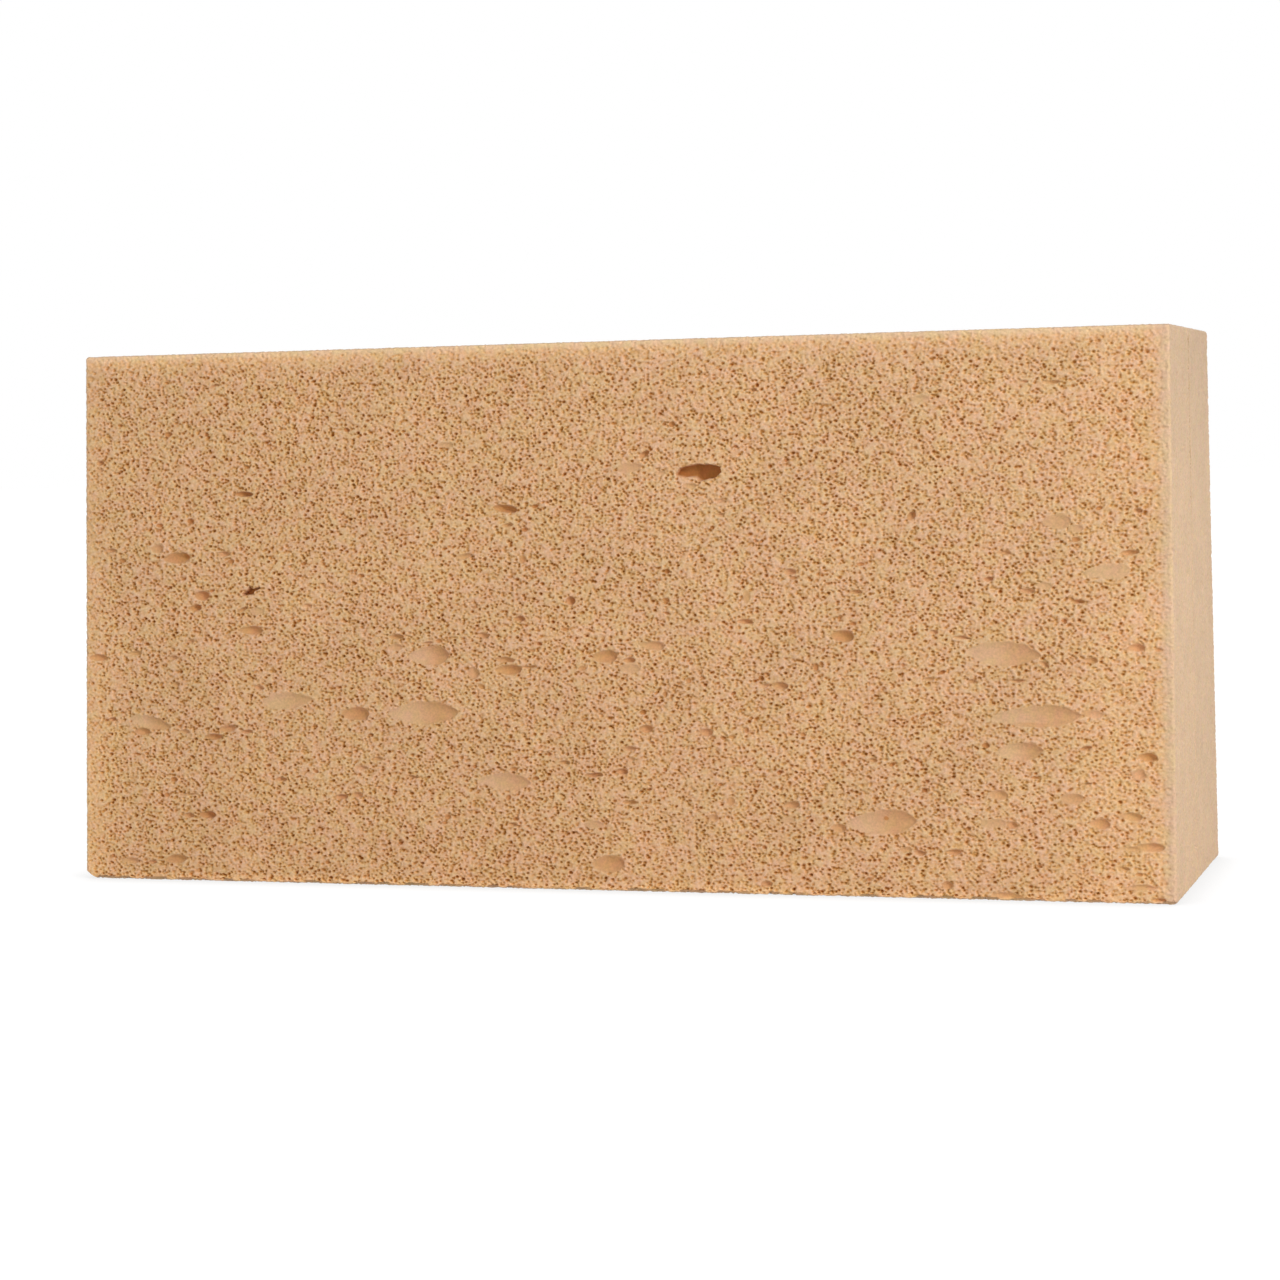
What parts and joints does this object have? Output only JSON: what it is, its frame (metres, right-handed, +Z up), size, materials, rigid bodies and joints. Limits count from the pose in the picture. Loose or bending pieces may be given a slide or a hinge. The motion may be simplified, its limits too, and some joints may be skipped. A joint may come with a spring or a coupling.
{
  "type": "grout float sponge block",
  "caption": "Block of tan open-pored foam, laminated from slabs, for wiping grout from tiled floors; it stands on its long narrow side.",
  "frame": {"origin": "middle of the long narrow face that the block stands on", "axes": "+X to the right along the block's length, +Y from the working face to the rear face, +Z up"},
  "size_m": [0.2, 0.06, 0.097],
  "materials": {
    "foam": "matte",
    "adhesive": "satin"
  },
  "bodies": {
    "root": {"front_foam_slab": "foam", "rear_foam_slab": "foam", "bond_film": "adhesive"}
  },
  "joints": []
}
